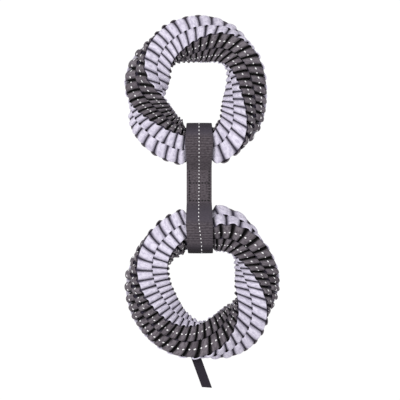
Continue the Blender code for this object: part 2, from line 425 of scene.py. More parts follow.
@dataclass(frozen=True)
class YarnFinish:
    """A single yarn or thread, with its twist as a fine relief and a darker shade in it."""

    name: str
    yarn: tuple[float, float, float]
    roughness: float
    twist_pitch: float
    shade: float = 0.72
    shade_edge: tuple[float, float] = (0.4, 0.7)
    relief: float = 0.05 * MM
    bump_strength: float = 0.4

    def build(self) -> bpy.types.Material:
        """Make the material.

        Returns:
            The material, which reads the object's own coordinates.
        """
        material = bpy.data.materials.new(self.name)
        graph = Graph(material)
        clouds = graph.cloudiness(1.0 / self.twist_pitch)
        darker = tuple(self.shade * channel for channel in self.yarn)
        colour = graph.mix(graph.rise(clouds, *self.shade_edge), self.yarn, darker)
        graph.dress({"Base Color": colour, "Roughness": self.roughness})
        graph.bump(clouds, self.relief, self.bump_strength)
        return material


LIGHT_WEBBING = WovenFinish(
    name="light_heather_webbing",
    yarn=(0.722, 0.683, 0.795),
    fleck=(0.430, 0.395, 0.510),
    deep=(0.055, 0.045, 0.075),
    slope_shade=(0.470, 0.425, 0.545),
    warp_pitch=1.15 * MM,
    weft_pitch=1.5 * MM,
    fleck_share=0.62,
    rib_trough_shade=0.0,
    roughness=0.92,
    sheen=0.05,
    relief=0.16 * MM,
)
DARK_WEBBING = WovenFinish(
    name="dark_webbing",
    yarn=(0.190, 0.168, 0.190),
    fleck=(0.070, 0.058, 0.070),
    deep=(0.009, 0.007, 0.009),
    slope_shade=(0.070, 0.060, 0.070),
    warp_pitch=1.15 * MM,
    weft_pitch=1.5 * MM,
    fleck_share=0.7,
    rib_trough_shade=0.0,
    roughness=0.90,
    sheen=0.03,
    relief=0.16 * MM,
)
STRAP_WEBBING = WovenFinish(
    name="strap_webbing",
    yarn=(0.106, 0.090, 0.101),
    fleck=(0.047, 0.038, 0.044),
    deep=(0.012, 0.009, 0.012),
    slope_shade=(0.060, 0.052, 0.068),
    warp_pitch=1.25 * MM,
    weft_pitch=2.6 * MM,
    fleck_share=0.85,
    rib_trough_shade=0.40,
    roughness=0.80,
    sheen=0.03,
    relief=0.14 * MM,
    fleck_grain=(420.0, 700.0),
    weave_shade=0.10,
)
LABEL_RIBBON = WovenFinish(
    name="label_ribbon",
    yarn=(0.024, 0.020, 0.028),
    fleck=(0.016, 0.013, 0.019),
    deep=(0.010, 0.009, 0.011),
    slope_shade=(0.060, 0.055, 0.064),
    warp_pitch=0.6 * MM,
    weft_pitch=0.8 * MM,
    fleck_share=0.5,
    rib_trough_shade=0.0,
    roughness=0.48,
    sheen=0.05,
    relief=0.05 * MM,
    fleck_grain=(700.0, 900.0),
)
REFLECTIVE_YARN = YarnFinish("reflective_yarn", (0.90, 0.89, 0.90), 0.45, 0.8 * MM)
STITCH_THREAD = YarnFinish("stitch_thread", (0.007, 0.005, 0.007), 0.8, 0.5 * MM)


@dataclass(frozen=True)
class TapeSection:
    """Cross-section of flat woven tape: two flat faces and round selvedges."""

    width: float
    thickness: float
    face_steps: int = 6
    edge_steps: int = 3

    def outline(self) -> np.ndarray:
        """Walk once round the section.

        Returns:
            Rows of (across, rise), with the first point repeated at the end.
        """
        half = self.thickness / 2
        straight = self.width / 2 - half
        faces = np.linspace(straight, -straight, self.face_steps + 1)
        turn = np.linspace(math.pi / 2, 3 * math.pi / 2, self.edge_steps + 1)[1:-1]
        edge = np.stack([half * np.cos(turn) - straight, half * np.sin(turn)], axis=1)
        top = np.stack([faces, np.full_like(faces, half)], axis=1)
        once = np.concatenate([top, edge, -top, -edge])
        return np.concatenate([once, once[:1]])


@dataclass(frozen=True)
class Sweep:
    """A tape laid along a path: the placed points of every section, and what paints them.

    points has the shape (stations, outline, 3). across and along are the UV places of
    the outline and of the stations, and a layer of paint has a value for each station.
    """

    points: np.ndarray
    across: np.ndarray
    along: np.ndarray
    closed: bool
    paint: dict[str, np.ndarray] = field(default_factory=dict)

    def mesh(self) -> bmesh.types.BMesh:
        """Wrap a grid round the sections.

        Returns:
            The closed mesh, with a tape UV map and its painted layers.
        """
        stations, around = self.points.shape[:2]
        mesh = bmesh.new()
        uv = mesh.loops.layers.uv.new("tape")
        layers = {name: mesh.verts.layers.float.new(name) for name in self.paint}
        bmesh.ops.create_grid(mesh, x_segments=around - 1, y_segments=stations - 1, size=0.5)
        places = {}
        for vert in mesh.verts:
            column = round((vert.co.x + 0.5) * (around - 1))
            row = round((vert.co.y + 0.5) * (stations - 1))
            places[vert.index] = (row, column)
            for name, layer in layers.items():
                vert[layer] = self.paint[name][row]
            vert.co = self.points[row, column]
        for face in mesh.faces:
            face.smooth = True
            for loop in face.loops:
                row, column = places[loop.vert.index]
                loop[uv].uv = (self.across[column], self.along[row])
        bmesh.ops.remove_doubles(mesh, verts=mesh.verts, dist=MERGE_DISTANCE)
        if not self.closed:
            rims = [edge for edge in mesh.edges if edge.is_boundary]
            bmesh.ops.holes_fill(mesh, edges=rims, sides=0)
        bmesh.ops.recalc_face_normals(mesh, faces=mesh.faces)
        return mesh


def gather(meshes: list[bmesh.types.BMesh]) -> bmesh.types.BMesh:
    """Join several meshes into one.

    Args:
        meshes: The meshes, which are freed.

    Returns:
        One mesh that holds them all.
    """
    joined = bmesh.new()
    for mesh in meshes:
        data = bpy.data.meshes.new("float")
        mesh.to_mesh(data)
        mesh.free()
        joined.from_mesh(data)
        bpy.data.meshes.remove(data)
    return joined


def add_piece(name: str, mesh: bmesh.types.BMesh, material: bpy.types.Material) -> bpy.types.Object:
    """Link a mesh as an object at the origin.

    Args:
        name: The piece's name.
        mesh: Its mesh, which is freed.
        material: Its material.

    Returns:
        The new object.
    """
    data = bpy.data.meshes.new(name)
    mesh.to_mesh(data)
    mesh.free()
    data.materials.append(material)
    piece = bpy.data.objects.new(name, data)
    bpy.context.scene.collection.objects.link(piece)
    LOG.info("%s: %d faces", piece.name, len(data.polygons))
    return piece


@dataclass(frozen=True)
class Dash:
    """A short float of reflective yarn, slim towards its ends, which dive into the webbing.

    sunk and dive are shares of the yarn's thickness: how deep its middle lies in the
    webbing and how much deeper its ends do. end_power keeps the change to the ends.
    """

    section: TapeSection
    pitch: float
    length: float
    sunk: float
    dive: float
    slimming: float = 0.85
    end_power: int = 4

    def lift(self, ply: float, share: np.ndarray) -> np.ndarray:
        """Height over the middle of webbing ply thick, at shares from -1 to 1 along the float."""
        return ply / 2 - self.section.thickness * (self.sunk + self.dive * share**self.end_power)

    def slimmed(self, points: np.ndarray, share: np.ndarray) -> np.ndarray:
        """Draw a float's sections together towards its ends.

        Args:
            points: Points of the shape (stations, outline, 3).
            share: Each station's place along the float, from -1 to 1.

        Returns:
            The slimmed points.
        """
        middle = points.mean(axis=1, keepdims=True)
        scale = np.sqrt(1.0 - self.slimming * share**self.end_power)
        return middle + (points - middle) * scale[:, None, None]


@dataclass(frozen=True)
class Fold:
    """The shape of a tape's turn at the face of the bar, and how unevenly it is laid.

    levels is the turn's breadth in levels of tape, depth how far it reaches out of the
    bar and proud how far it stands over the bar's even face. squareness is the power of
    its rounding and shingle how far its far side hangs back. uneven, tilt and tone are
    the spreads of the random differences in reach, lean and darkness.
    """

    levels: float
    depth: float
    squareness: float
    proud: float
    uneven: float
    shingle: float
    tilt: float
    tone: float


@dataclass(frozen=True)
class Strand:
    """One of a ring's four strands. column is its side of the bar's middle, -1 or 1."""

    shade: Shade
    column: int

    @property
    def first_entry(self) -> int:
        """The side at which it enters the first layer, -1 or 1."""
        return -self.column if self.shade is Shade.LIGHT else self.column


@dataclass(frozen=True)
class StrandPath:
    """A strand's path through the straight bar, point by point.

    offset runs across the bar and place along it. tilt is how far the tape leans along
    the bar for each metre across it, and tone how dark its own yarn is. slack is 1 where
    the next tape along the bar leaves room and -1 where the one before it does.
    """

    offset: np.ndarray
    place: np.ndarray
    tilt: np.ndarray
    tone: np.ndarray
    slack: np.ndarray

    def walked(self) -> np.ndarray:
        """Distance along the tape at each point, from the first."""
        steps = np.hypot(np.diff(self.offset), np.diff(self.place))
        return np.concatenate([[0.0], np.cumsum(steps)])

    def resampled(self, step: float) -> "StrandPath":
        """Walk the same path in even steps.

        Args:
            step: The distance between points.

        Returns:
            The path with evenly spaced points.
        """
        walked = self.walked()
        even = np.arange(0.0, walked[-1], step)
        rows = (self.offset, self.place, self.tilt, self.tone, self.slack)
        return StrandPath(*(np.interp(even, walked, row) for row in rows))


@dataclass(frozen=True)
class BraidedRing:
    """A closed bar of four tapes, box-braided, turning once about itself on its way round.

    The centre line is a circle of mean_radius with outline_waves on it, which the strap
    pulls in by strap_dip. face_clock is where a light face would look straight up if the
    bar turned evenly, and turn_waves say how far the turn runs ahead of that. lay_waves
    say how far the layers lie ahead of even places, slant_waves how far the folds lean
    from straight across the bar, and bow_waves how far their ends run ahead of their
    middles. outer_waves and inner_waves are the bar's fullness away from the hole and
    towards it.

    The reach, spread, swell and fill sizes say how far the soft tape presses into the
    room that is left for it inside the bar.
    """

    end: End
    mean_radius: float
    outline_waves: tuple[Wave, ...]
    strap_dip: float
    side_offset: float
    eye_radius: float
    squeeze: float
    face_clock: float
    turn_waves: tuple[Wave, ...]
    lay_waves: tuple[Wave, ...]
    slant_waves: tuple[Wave, ...]
    bow_waves: tuple[Wave, ...]
    outer_waves: tuple[Wave, ...]
    inner_waves: tuple[Wave, ...]
    seed: int
    dark_seed_step: int = 10
    layers: int = 80
    tape: TapeSection = TapeSection(width=14.6 * MM, thickness=1.1 * MM)
    column_middle: float = 7.75 * MM
    bar_half: float = 17.88 * MM
    dip_sharpness: int = 12
    squeeze_half: float = 12.6 * MM
    squeeze_fade: float = 4.5 * MM
    levels_per_layer: int = 3
    fold_steps: int = 16
    neck_sharpness: float = 1.6
    slip_share: float = 0.5
    jog_half: float = 1.8 * MM
    crossing_shares: tuple[float, float] = (0.45, 0.85)
    crown: float = 0.45 * MM
    crown_start: float = 5.0 * MM
    crown_run: float = 4.0 * MM
    core_swell: float = 0.31
    light_reach: float = 2.25 * MM
    dark_reach: float = 0.40 * MM
    light_spread: float = 1.5 * MM
    dark_spread: float = 1.9 * MM
    pack_run: float = 2.0 * MM
    fill_start: float = 4.6 * MM
    fill_run: float = 2.5 * MM
    fill_levels: float = 1.5
    # Where the tape starts to count as inside the bar, under its face, and how far in that grows to
    # full: it swells there and painted shade darkens it
    shade_start: float = 0.6 * MM
    shade_run: float = 3.0 * MM
    light_fold: Fold = Fold(
        levels=4.6,
        depth=4.6 * MM,
        squareness=2.3,
        proud=0.55 * MM,
        uneven=0.24 * MM,
        shingle=0.22,
        tilt=0.05,
        tone=0.12,
    )
    dark_fold: Fold = Fold(
        levels=3.8,
        depth=4.2 * MM,
        squareness=2.5,
        proud=0.60 * MM,
        uneven=0.30 * MM,
        shingle=0.18,
        tilt=0.06,
        tone=0.30,
    )
    dash: Dash = Dash(
        section=TapeSection(width=1.6 * MM, thickness=0.9 * MM, face_steps=2, edge_steps=2),
        pitch=3.8 * MM,
        length=2.5 * MM,
        sunk=0.10,
        dive=0.45,
    )
    dash_stations: int = 6
    dash_uneven: float = 0.45 * MM
    dash_cut: float = 2.9 * MM

    @property
    def name(self) -> str:
        """The ring's name, as its nodes begin."""
        return self.end.name.lower()

    @property
    def body(self) -> str:
        """The body that the ring rides on."""
        return f"{self.name}_ring"

    @cached_property
    def neck_length(self) -> float:
        """Distance from the neck's hinge to the eye's middle.

        Returns:
            The distance, from the eye's own box.
        """
        low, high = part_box(f"strap_{self.name}_eye")
        outer = (high.z - low.z) / 2
        far = max(abs(low.y), abs(high.y))
        return far - outer - HINGE_Y

    def bar_radius(self, clock: np.ndarray) -> np.ndarray:
        """Find how far the middle of the bar is from the ring's centre.

        Args:
            clock: Clock angles in radians.

        Returns:
            The distance at each angle.
        """
        near = np.maximum(-self.end.value * np.cos(clock), 0.0)
        wavy = self.mean_radius + swell(self.outline_waves, clock)
        return wavy - self.strap_dip * near**self.dip_sharpness

    @cached_property
    def centre(self) -> np.ndarray:
        """Find the middle of the ring.

        Returns:
            Its X and Y.
        """
        strap_clock = np.array(math.pi if self.end is End.UPPER else 0.0)
        reach = HINGE_Y + self.neck_length + float(self.bar_radius(strap_clock))
        return np.array([self.side_offset, self.end.value * reach])

    def centre_line(self, clock: np.ndarray) -> np.ndarray:
        """Place points on the bar's centre line.

        Args:
            clock: Clock angles in radians.

        Returns:
            Rows of X and Y.
        """
        radius = self.bar_radius(clock)
        return self.centre + np.stack([radius * np.sin(clock), radius * np.cos(clock)], axis=-1)

    def outward(self, clock: np.ndarray) -> np.ndarray:
        """Find the way out from the ring's hole, square to the bar.

        Args:
            clock: Clock angles in radians.

        Returns:
            Rows of unit X and Y.
        """
        along = self.centre_line(clock + CLOCK_NUDGE) - self.centre_line(clock - CLOCK_NUDGE)
        across = np.stack([-along[..., 1], along[..., 0]], axis=-1)
        return across / np.linalg.norm(across, axis=-1, keepdims=True)

    @cached_property
    def length(self) -> float:
        """Length of the bar's centre line."""
        points = self.centre_line(np.linspace(0.0, 2.0 * math.pi, LENGTH_STEPS + 1))
        return float(np.linalg.norm(np.diff(points, axis=0), axis=1).sum())

    @property
    def level(self) -> float:
        """Thickness of the bar that one tape has to itself."""
        return self.length / self.layers / self.levels_per_layer

    def free(self, clock: np.ndarray, out: np.ndarray) -> np.ndarray:
        """Share by which the bar is free of the strap that squeezes it.

        Args:
            clock: Clock angles in radians.
            out: Offsets away from the hole.

        Returns:
            The share at each point.
        """
        across = self.centre_line(clock)[..., 0] + self.outward(clock)[..., 0] * out
        beside = smooth_step((np.abs(across) - self.squeeze_half) / self.squeeze_fade)
        away = self.end.value * np.cos(clock) > 0.0
        return np.where(away, 1.0, beside)

    def fullness(self, clock: np.ndarray, out: np.ndarray) -> np.ndarray:
        """How much further out than in an even bar a point lies, as the bar's bends bulge.

        Args:
            clock: Clock angles in radians.
            out: Offsets away from the hole.

        Returns:
            Distances away from the hole.
        """
        outer = swell(self.outer_waves, clock) * np.clip(out / self.bar_half, 0.0, 1.0)
        inner = swell(self.inner_waves, clock) * np.clip(-out / self.bar_half, 0.0, 1.0)
        return outer - inner

    def turned(
        self, across_dark: np.ndarray, across_light: np.ndarray, clock: np.ndarray
    ) -> tuple[np.ndarray, np.ndarray]:
        """Turn points of the straight bar's section about the bar's centre line.

        Args:
            across_dark: Offsets from one dark face to the other.
            across_light: Offsets from one light face to the other.
            clock: Clock angles in radians.

        Returns:
            Offsets away from the hole, and up.
        """
        turn = clock - self.face_clock + swell(self.turn_waves, clock)
        out = np.sin(turn) * across_light + np.cos(turn) * across_dark
        up = np.cos(turn) * across_light - np.sin(turn) * across_dark
        return out, up

    def place(
        self, across_dark: np.ndarray, across_light: np.ndarray, even_clock: np.ndarray
    ) -> np.ndarray:
        """Place points of the straight bar's section on the ring.

        Args:
            across_dark: Offsets from one dark face to the other.
            across_light: Offsets from one light face to the other.
            even_clock: Clock angles in radians at which the points would lie in an even braid.

        Returns:
            Rows of X, Y and Z.
        """
        clock = even_clock + swell(self.lay_waves, even_clock)
        out, _ = self.turned(across_dark, across_light, clock)
        slant = swell(self.slant_waves, clock)
        bow = swell(self.bow_waves, clock) * (out / self.bar_half) ** 2
        clock = clock - np.tan(slant) * out / self.mean_radius + bow
        out, up = self.turned(across_dark, across_light, clock)
        free = self.free(clock, out)
        scale = self.squeeze * (1.0 - free) + free
        out = out * scale + self.fullness(clock, out) * free
        flat = self.centre_line(clock) + self.outward(clock) * out[..., None]
        return np.concatenate([flat, (MID_Z + up * scale)[..., None]], axis=-1)

    def fold_shape(
        self, fold: Fold, height: float
    ) -> tuple[np.ndarray, np.ndarray, np.ndarray]:
        """Shape the turn that a tape makes at the face of the bar.

        Args:
            fold: The turn's shape.
            height: Half the way along the bar from where the tape comes out to where it goes in.

        Returns:
            For each point of the turn how far out it is, as a share of the fold's depth,
            the same with its far side hanging back, and its place along the bar.
        """
        angle = np.linspace(-math.pi / 2, math.pi / 2, self.fold_steps + 1)
        out = signed_power(np.cos(angle), 2.0 / fold.squareness)
        up = signed_power(np.sin(angle), 2.0 / fold.squareness)
        spread_to = fold.levels * self.level / 2 / height
        spread = 1.0 + (spread_to - 1.0) * smooth_step(out * self.neck_sharpness)
        return out, out * (1.0 - fold.shingle * (1.0 - up) / 2), height * up * spread

    def strand_path(self, strand: Strand) -> StrandPath:
        """Lay one strand's path through the straight bar.

        Args:
            strand: Which strand. A light one jogs over and under the dark ones.

        Returns:
            The path.
        """
        if strand.shade is Shade.LIGHT:
            fold, jogs, seed = self.light_fold, 1, self.seed
        else:
            fold, jogs, seed = self.dark_fold, 0, self.seed + self.dark_seed_step
        rng = np.random.default_rng(seed + strand.first_entry)
        step = self.length / self.layers
        root = self.bar_half + fold.proud - self.tape.thickness / 2 - fold.depth
        shares = (self.jog_half / root, *self.crossing_shares)
        crossing = np.array([*(-share for share in reversed(shares)), *shares]) * root
        ramp = -jogs * self.level * np.sign(crossing)
        height = (self.levels_per_layer + 2 * jogs) * self.level / 2
        out, shingled, rise = self.fold_shape(fold, height)
        offsets = []
        places = []
        for layer in range(self.layers):
            entry = strand.first_entry if layer % 2 == 0 else -strand.first_entry
            proud = fold.depth + rng.normal(0.0, fold.uneven)
            slip = rng.normal(0.0, self.slip_share * fold.uneven)
            offsets += [-entry * crossing, -entry * (root + proud * shingled)]
            places += [layer * step + ramp, layer * step + step / 2 + slip * out + rise]
        tilts = rng.normal(0.0, fold.tilt, self.layers)
        tones = np.abs(rng.normal(0.0, fold.tone, self.layers))
        span = len(crossing) + len(out)
        lean = np.tile([*np.zeros(len(crossing)), *out], self.layers)
        slack = -strand.first_entry * strand.column * np.sign(crossing)
        return StrandPath(
            np.concatenate(offsets),
            np.concatenate(places),
            lean * np.repeat(tilts, span),
            lean * np.repeat(tones, span),
            np.tile([*slack, *np.zeros(len(out))], self.layers),
        )

    def inside(self, offset: np.ndarray) -> np.ndarray:
        """Share by which a tape is inside the bar, at offsets across it; the same share paints
        shade on it.
        """
        depth = self.bar_half - self.shade_start - np.abs(offset)
        return smooth_step(depth / self.shade_run)

    def normals(self, path: StrandPath) -> np.ndarray:
        """Find the way off one face of the tape all along a strand's path.

        Args:
            path: The strand's path.

        Returns:
            Unit rows of (offset, place).
        """
        d_offset = np.roll(path.offset, -1) - np.roll(path.offset, 1)
        ahead = np.roll(path.place, -1) - np.roll(path.place, 1)
        d_place = (ahead + self.length / 2) % self.length - self.length / 2
        return np.stack([d_place, -d_offset], axis=1) / np.hypot(d_offset, d_place)[:, None]

    def lay(
        self,
        strand: Strand,
        path: StrandPath,
        rows: np.ndarray,
        outline: np.ndarray,
        lift: np.ndarray,
    ) -> np.ndarray:
        """Carry a section along a strand's path and onto the ring.

        Deep in the bar the tape swells and spreads as the soft webbing does: to the bar's
        middle, into the folds that pass round it, and a dark one into the room beside it.

        Args:
            strand: Which strand.
            path: The strand's path.
            rows: Indices of the path's points to use.
            outline: The section's (across, rise) points.
            lift: How far each row stands off the path, along its outer side.

        Returns:
            Points of the shape (rows, outline, 3).
        """
        normal = self.normals(path)[rows]
        offset = path.offset[rows, None]
        held = np.abs(offset)
        across = outline[None, :, 0]
        face = outline[None, :, 1]
        outer_side = np.where(normal[:, :1] * offset < 0.0, -1.0, 1.0)
        edge = (2.0 * across / self.tape.width) ** 2
        outside = smooth_step((held - self.bar_half + self.crown_start) / self.crown_run)
        deep = self.inside(offset)
        rise = face * (1.0 + self.core_swell * deep)
        rise = rise + outer_side * (lift[:, None] - self.crown * edge * outside)
        own = offset + normal[:, :1] * rise
        along = path.place[rows, None] + normal[:, 1:] * rise + path.tilt[rows, None] * across
        inner = 0.5 - strand.column * across / self.tape.width
        outer = np.clip(1.0 - 2.0 * inner, 0.0, 1.0)
        if strand.shade is Shade.LIGHT:
            reach, spread = self.light_reach, self.light_spread
            filling = smooth_step((self.tape.width - held) / self.pack_run)
            filling = filling * smooth_step(held / self.pack_run - 1.0)
        else:
            reach, spread = self.dark_reach, self.dark_spread
            packed = smooth_step((self.bar_half - self.fill_start - held) / self.fill_run)
            slack = path.slack[rows, None] * packed
            filling = np.clip(face * normal[:, 1:] * slack / self.tape.thickness * 2, 0.0, 1.0)
            room = self.fill_levels * self.level - self.tape.thickness / 2
            along = along + np.sign(slack) * filling * room
        middle = self.column_middle - reach * inner * deep + spread * outer * filling
        side = strand.column * middle + across
        clock = along / self.length * 2.0 * math.pi
        if strand.shade is Shade.LIGHT:
            return self.place(side, own, clock)
        return self.place(own, side, clock)

    def webbing(self, strand: Strand) -> bmesh.types.BMesh:
        """Model one strand of the braid.

        Args:
            strand: Which strand.

        Returns:
            The strand's closed mesh.
        """
        path = self.strand_path(strand)
        outline = self.tape.outline()
        rows = np.arange(len(path.offset))
        points = self.lay(strand, path, rows, outline, np.zeros(len(rows)))
        points = np.concatenate([points, points[:1]])
        walked = path.walked()
        gap = path.place[0] + self.length - path.place[-1]
        closing = math.hypot(path.offset[0] - path.offset[-1], gap)
        along = np.append(walked, walked[-1] + closing)
        # depth is painted shade, darker the deeper the tape lies in the bar; tone is each fold's
        # random darkness
        layers = {"depth": self.inside(path.offset), "tone": path.tone}
        paint = {name: np.append(row, row[0]) for name, row in layers.items()}
        across = outline[:, 0] + self.tape.width / 2
        return Sweep(points, across, along, closed=True, paint=paint).mesh()

    def dashes(self, strand: Strand) -> bmesh.types.BMesh:
        """Model the reflective yarn that surfaces along the middle of a dark strand.

        Args:
            strand: Which strand.

        Returns:
            One mesh of separate short floats of yarn.
        """
        whole = self.strand_path(strand)
        out = np.abs(whole.offset)
        least = self.bar_half - self.dash_cut
        peaks = (out > np.roll(out, 1)) & (out > np.roll(out, -1)) & (out > least)
        tops = whole.walked()[peaks]
        step = self.dash.length / self.dash_stations
        path = whole.resampled(step)
        walked = np.arange(len(path.offset)) * step
        outline = self.dash.section.outline()
        rng = np.random.default_rng(self.seed + strand.first_entry)
        starts = tops - self.dash.length / 2 + rng.normal(0.0, self.dash_uneven, len(tops))
        floats = []
        for start in np.concatenate([starts - self.dash.pitch / 2, starts + self.dash.pitch / 2]):
            rows = np.flatnonzero((walked >= start) & (walked <= start + self.dash.length))
            if len(rows) < self.dash_stations / 2 or np.abs(path.offset[rows]).min() < least:
                continue
            share = np.linspace(-1.0, 1.0, len(rows))
            lift = self.dash.lift(self.tape.thickness, share)
            points = self.lay(strand, path, rows, outline, lift)
            points = self.dash.slimmed(points, share)
            floats.append(Sweep(points, outline[:, 0], walked[rows], closed=False).mesh())
        return gather(floats)

    def build(self) -> None:
        """Model and dress the ring's four strands and the yarn in the dark ones."""
        finishes = {Shade.LIGHT: LIGHT_WEBBING.build(), Shade.DARK: DARK_WEBBING.build()}
        yarn = REFLECTIVE_YARN.build()
        for shade in Shade:
            for column, letter in ((-1, "a"), (1, "b")):
                strand = Strand(shade, column)
                mesh = self.webbing(strand)
                piece = add_piece(f"{self.name}_{shade.value}_tape_{letter}", mesh, finishes[shade])
                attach(piece, self.body)
                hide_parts(f"{self.name}_{shade.value}_strand_{letter}")
                if shade is Shade.DARK:
                    mesh = self.dashes(strand)
                    piece = add_piece(f"{self.name}_reflective_yarn_{letter}", mesh, yarn)
                    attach(piece, self.body)


def make_profile(unit: float, *rows: tuple[float, float]) -> np.ndarray:
    """Tabulate a value along the strap.

    Args:
        unit: What the values are counted in: metres, or 1 for a plain share.
        rows: Distances from the strap's middle in millimetres, each with its value.

    Returns:
        The distances in metres and the values, in two rows.
    """
    return np.array(rows).T * [[MM], [unit]]


@dataclass(frozen=True)
class StrapHalf:
    """Half of the sewn strap, from its middle round one ring's bar and back underneath.

    sway, yarn_shift, widths, ribs and the slope shade are profiles along the half: the
    webbing's shift to one side, the yarn's shift on it, the webbing's width, how plainly its
    ribs show, with painted shade in their troughs, and how much darker purple painted shade
    lies on its smooth slopes that face away from the light. steep_shade is painted shade
    that darkens the loop's far end, where it turns steeply away from the light.

    neck_lead is how far before the hinge the ply starts to bend, and rounding how far
    its bends are smoothed. least_run keeps the dashes from crowding where it is steep.
    """

    ring: BraidedRing
    sway: np.ndarray
    yarn_shift: np.ndarray
    widths: np.ndarray
    ribs: np.ndarray
    slope_shade: np.ndarray
    steep_shade: float
    ply: float = 1.65 * MM
    step: float = 0.32 * MM
    loop_steps: int = 160
    rib_pitch: float = 2.6 * MM
    rib_height: float = 0.11 * MM
    rib_fade: int = 8
    under_ribs: float = 0.6
    edge_drop: float = 0.12 * MM
    edge_fade: int = 4
    steep_start: float = 0.45
    neck_lead: float = 0.5 * MM
    rounding: float = 7.0 * MM
    neck_blend: float = 3.2 * MM
    dash: Dash = Dash(
        section=TapeSection(width=1.05 * MM, thickness=0.5 * MM, face_steps=2, edge_steps=2),
        pitch=3.6 * MM,
        length=1.9 * MM,
        sunk=0.12,
        dive=0.5,
    )
    first_dash: float = 0.25
    least_run: float = 0.5

    @property
    def side(self) -> float:
        """1 towards the upper ring and -1 towards the lower."""
        return self.ring.end.value

    @cached_property
    def path(self) -> np.ndarray:
        """Lay the strap's half loop, from its top face's middle to its underside's.

        Returns:
            Evenly spaced rows of (distance from the middle towards the ring, height).
        """
        radius = self.ring.eye_radius + self.ply / 2
        middle = HINGE_Y + self.ring.neck_length
        ply_height = STRAP_PLY / 2
        neck = HINGE_Y - self.neck_lead
        reach = math.hypot(middle - neck, ply_height)
        lean = math.acos(radius / reach) + math.atan2(ply_height, middle - neck)
        arc = np.linspace(math.pi - lean, lean - math.pi, self.loop_steps)
        loop = np.stack([middle + radius * np.cos(arc), radius * np.sin(arc)], axis=1)
        top = np.array([[0.0, ply_height], [neck, ply_height]])
        corners = np.concatenate([top, loop, top[::-1] * (1.0, -1.0)])
        gaps = np.linalg.norm(np.diff(corners, axis=0), axis=1)
        walked = np.concatenate([[0.0], np.cumsum(gaps)])
        even = np.linspace(0.0, walked[-1], int(walked[-1] / self.step) + 1)
        points = np.stack([np.interp(even, walked, column) for column in corners.T], axis=1)
        held = int(self.rounding / self.step / 2)
        before = points[1:held + 1][::-1] * (-1.0, 1.0)
        after = points[-held - 1:-1][::-1] * (-1.0, 1.0)
        padded = np.concatenate([before, points, after])
        window = np.hanning(2 * held + 3)[1:-1]
        window /= window.sum()
        smooth = [np.convolve(column, window, mode="valid") for column in padded.T]
        return np.stack(smooth, axis=1)

    @cached_property
    def heading(self) -> np.ndarray:
        """Unit rows along the path."""
        along = np.gradient(self.path, axis=0)
        return along / np.linalg.norm(along, axis=1, keepdims=True)

    def profile(self, table: np.ndarray, rows: np.ndarray) -> np.ndarray:
        """Read one of the half's profiles at points of the path."""
        return np.interp(self.path[rows, 0], *table)

    def lay(
        self, outline: np.ndarray, lift: np.ndarray, rows: np.ndarray, wide: np.ndarray
    ) -> np.ndarray:
        """Carry a section along the strap's path.

        Args:
            outline: The section's (across, rise) points.
            lift: Height off the path, by row and by point of the outline.
            rows: Indices of the path's points to use.
            wide: Scale of each row's width.

        Returns:
            Points of the shape (rows, outline, 3).
        """
        heading = self.heading[rows]
        rise = outline[None, :, 1] + lift
        across = outline[None, :, 0] * wide[:, None] + self.profile(self.sway, rows)[:, None]
        forward = self.path[rows, 0:1] - heading[:, 1:2] * rise
        height = self.path[rows, 1:2] + heading[:, 0:1] * rise
        return np.stack([across, self.side * forward, MID_Z + height], axis=-1)

    def webbing(self) -> bmesh.types.BMesh:
        """Model the half's webbing, with its ribs and the layers that paint shade on it.

        Returns:
            Its closed mesh.
        """
        outline = TapeSection(STRAP_WIDTH, self.ply, face_steps=14, edge_steps=4).outline()
        rows = np.arange(len(self.path))
        along = rows * self.step
        wide = self.profile(self.widths, rows) / STRAP_WIDTH
        over = self.path[:, 1] > 0.0
        zone = np.where(over, self.profile(self.ribs, rows), self.under_ribs)
        edge = np.abs(2.0 * outline[None, :, 0] / STRAP_WIDTH)
        ribs = self.rib_height * zone * np.sin(2.0 * math.pi * along / self.rib_pitch)
        lift = ribs[:, None] * (1.0 - edge**self.rib_fade) - self.edge_drop * edge**self.edge_fade
        points = self.lay(outline, np.sign(outline[None, :, 1]) * lift, rows, wide)
        # Painted shade where the loop's far end turns steeply away from the light
        beyond = np.abs(self.heading[:, 1]) - self.steep_start
        steep = smooth_step(beyond / (1.0 - self.steep_start))
        steep = steep * (self.path[:, 0] > HINGE_Y + self.ring.neck_length)
        # A darker purple painted shade on the top face's smooth slopes that turn away from the
        # light
        slope_shade = self.profile(self.slope_shade, rows) * over
        # The depth layer here carries the painted shade of the steep far end
        paint = {"depth": self.steep_shade * steep, "ribs": zone, "slope_shade": slope_shade}
        across = outline[:, 0] + STRAP_WIDTH / 2
        return Sweep(points, across, along, closed=False, paint=paint).mesh()

    def dashes(self) -> bmesh.types.BMesh:
        """Model the reflective yarn that surfaces along the strap's middle.

        Returns:
            One mesh of separate short floats of yarn.
        """
        outline = self.dash.section.outline()
        pitch = self.dash.pitch
        walked = np.cumsum(np.maximum(np.abs(self.heading[:, 0]), self.least_run)) * self.step
        floats = []
        for start in np.arange(self.first_dash * pitch, walked[-1] - pitch, pitch):
            rows = np.flatnonzero((walked >= start) & (walked <= start + self.dash.length))
            share = np.linspace(-1.0, 1.0, len(rows))
            lift = self.dash.lift(self.ply, share)
            points = self.lay(outline, lift[:, None], rows, np.ones(len(rows)))
            points = self.dash.slimmed(points, share)
            shift = self.profile(self.yarn_shift, rows) * (self.path[rows, 1] > 0.0)
            points[..., 0] += shift[:, None]
            floats.append(Sweep(points, outline[:, 0], rows * self.step, closed=False).mesh())
        return gather(floats)

    def join(self, piece: bpy.types.Object) -> None:
        """Bake the placing of a piece of the strap into its mesh.

        Args:
            piece: The webbing or its yarn.
        """
        self.ring.body
        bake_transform(piece)

